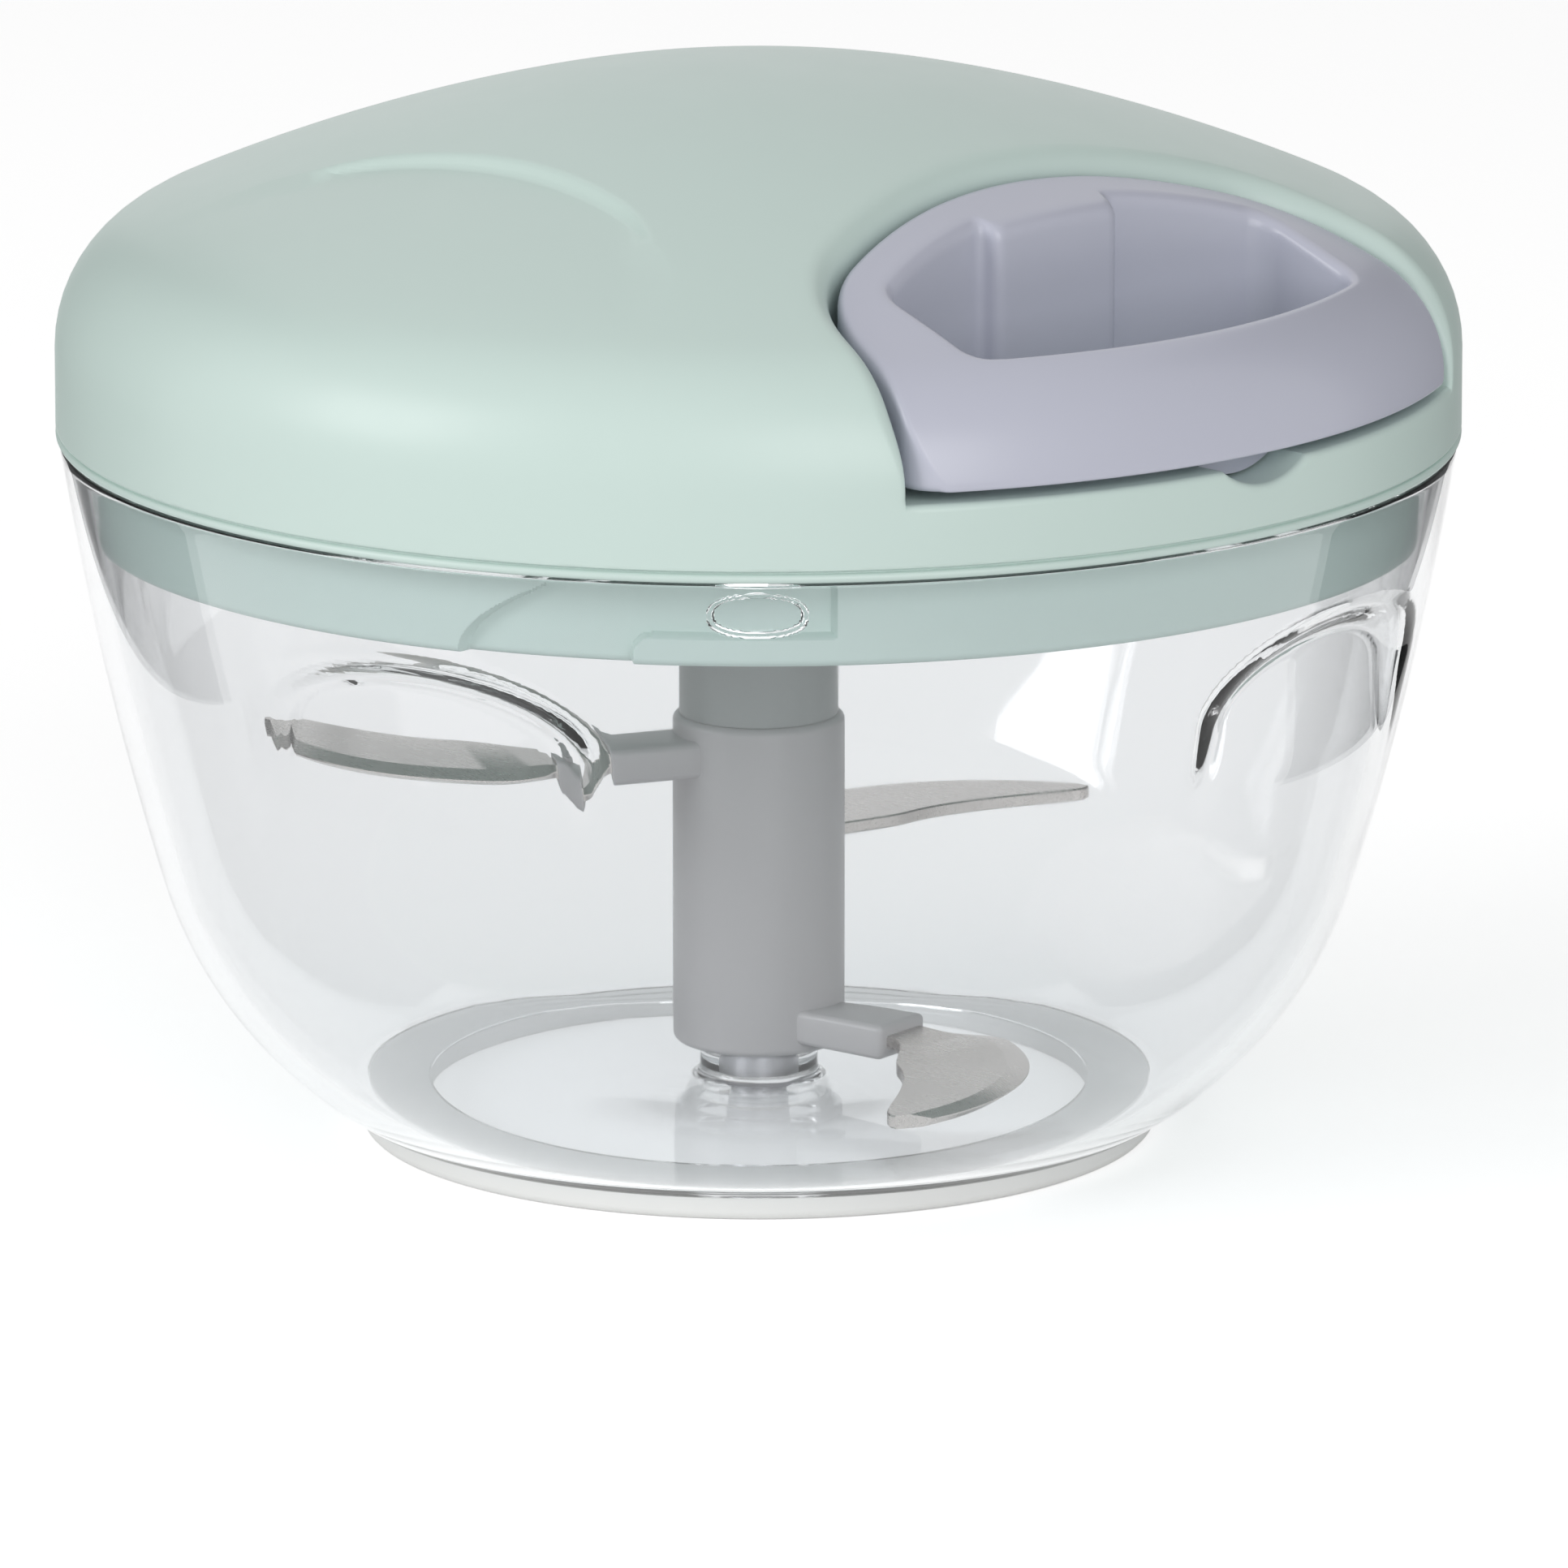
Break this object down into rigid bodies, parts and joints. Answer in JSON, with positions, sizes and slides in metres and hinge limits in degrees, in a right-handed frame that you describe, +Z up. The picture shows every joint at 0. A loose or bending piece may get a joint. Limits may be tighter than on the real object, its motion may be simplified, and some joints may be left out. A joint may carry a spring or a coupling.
{
  "type": "pull-string food chopper",
  "caption": "Round hand chopper: a clear bowl with finger scallops, a twist-lock domed lid with a D-shaped pull handle on a recoil cord, and steel blades on a central shaft.",
  "frame": {"origin": "middle of the foot, on the surface that the chopper stands on", "axes": "+Z up along the axis of the bowl, lid and blade shaft; +X the way the handle is pulled"},
  "size_m": [0.13, 0.13, 0.1],
  "materials": {
    "bowl_clear": "clear, polished",
    "foot_white": "matte",
    "lid_green": "satin",
    "handle_lilac": "satin gloss",
    "shaft_grey": "satin",
    "collar_grey": "satin",
    "blade_steel": "brushed",
    "reel_white": "satin",
    "bush_ivory": "satin",
    "spring_steel": "blued",
    "screw_steel": "zinc plated",
    "cord_white": "braided"
  },
  "bodies": {
    "bowl": {"bowl": "bowl_clear", "foot_ring": "foot_white", "centre_pin": "screw_steel"},
    "lid": {"lid_cover": "lid_green", "lid_base": "lid_green", "drive_bush": "bush_ivory", "cover_screws": "screw_steel", "cord_eyelet": "reel_white", "reel_washer": "screw_steel", "reel_screw": "screw_steel", "recoil_spring": "spring_steel", "pull_cord": "cord_white"},
    "reel": {"cord_reel": "reel_white", "spring_cap": "reel_white", "cord_windings": "cord_white"},
    "pawl_1": {"pawl_1": "bush_ivory"},
    "pawl_2": {"pawl_2": "bush_ivory"},
    "pawl_3": {"pawl_3": "bush_ivory"},
    "rotor": {"drive_coupler": "reel_white", "drive_clip": "screw_steel", "blade_shaft": "shaft_grey", "shaft_collar": "collar_grey", "shaft_bush": "bush_ivory", "blade_upper": "blade_steel", "blade_middle": "blade_steel", "blade_lower": "blade_steel"},
    "handle": {"pull_handle": "handle_lilac", "cord_knot": "cord_white"}
  },
  "joints": [
    {"name": "lid_twist", "type": "hinge", "parent": "bowl", "child": "lid", "pos_m": [0, 0, 0.066], "axis": [0, 0, 1], "range_deg": [0, 18]},
    {"name": "handle_pull", "type": "slide", "parent": "lid", "child": "handle", "axis": [1, 0, 0], "range_m": [0, 0.36], "stiffness_N_per_m": 20, "springref_m": -0.3, "deforming": ["pull_cord"]},
    {"name": "reel_spin", "type": "hinge", "parent": "lid", "child": "reel", "pos_m": [0, 0, 0.08], "axis": [0, 0, 1], "range_deg": [0, 1130], "deforming": ["recoil_spring"]},
    {"name": "rotor_spin", "type": "hinge", "parent": "lid", "child": "rotor", "pos_m": [0, 0, 0.062], "axis": [0, 0, 1], "range_deg": [0, 1130]},
    {"name": "pawl_1_click", "type": "hinge", "parent": "reel", "child": "pawl_1", "pos_m": [0.011, 0, 0.073], "axis": [0, 0, 1], "range_deg": [0, 10], "stiffness_Nm_per_rad": 0.0005, "springref_deg": -11.46},
    {"name": "pawl_2_click", "type": "hinge", "parent": "reel", "child": "pawl_2", "pos_m": [-0.0055, 0.00953, 0.073], "axis": [0, 0, 1], "range_deg": [0, 10]},
    {"name": "pawl_3_click", "type": "hinge", "parent": "reel", "child": "pawl_3", "pos_m": [-0.0055, -0.00953, 0.073], "axis": [0, 0, 1], "range_deg": [0, 10]}
  ],
  "couplings": [
    {"joint": "reel_spin", "follows": "handle_pull", "rad_per_m": 54.05},
    {"joint": "rotor_spin", "follows": "handle_pull", "rad_per_m": 54.05},
    {"joint": "pawl_2_click", "follows": "pawl_1_click", "ratio": 1},
    {"joint": "pawl_3_click", "follows": "pawl_1_click", "ratio": 1}
  ]
}
